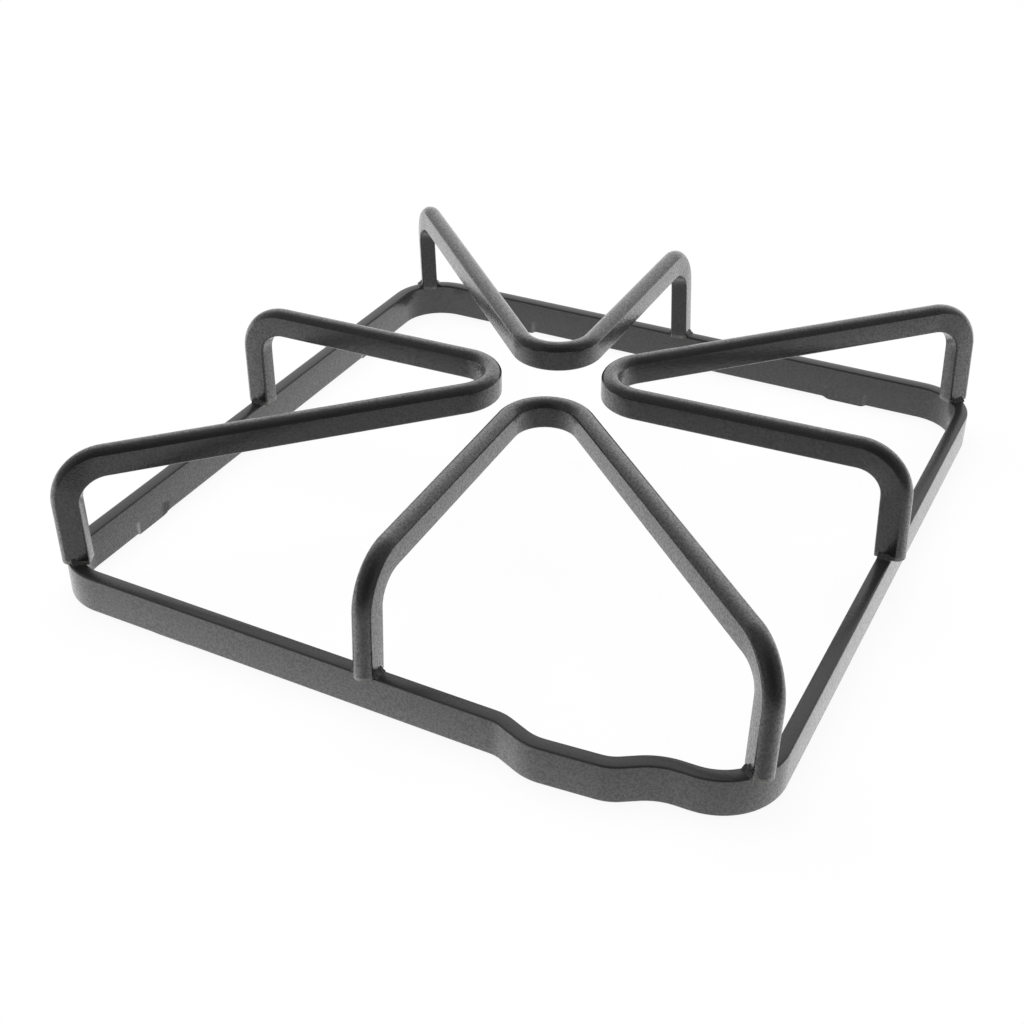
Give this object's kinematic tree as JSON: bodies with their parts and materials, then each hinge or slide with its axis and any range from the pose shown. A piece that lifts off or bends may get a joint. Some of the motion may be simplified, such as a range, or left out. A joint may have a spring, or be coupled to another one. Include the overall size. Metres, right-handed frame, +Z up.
{
  "type": "hob pan support",
  "caption": "Square pan support for a gas burner: a rounded strip frame on edge with bent, domed bars that reach in to hold a pan above the flame.",
  "frame": {"origin": "on the burner's axis, the middle of the strip frame, at the level of the feet", "axes": "+Z up, -Y towards the front run with the jog, +X to the right"},
  "size_m": [0.2463, 0.2544, 0.0532],
  "materials": {
    "enamel": "matt vitreous enamel"
  },
  "bodies": {
    "root": {"frame_ring": "enamel", "finger_front": "enamel", "finger_right": "enamel", "finger_back": "enamel", "finger_left": "enamel"}
  },
  "joints": []
}
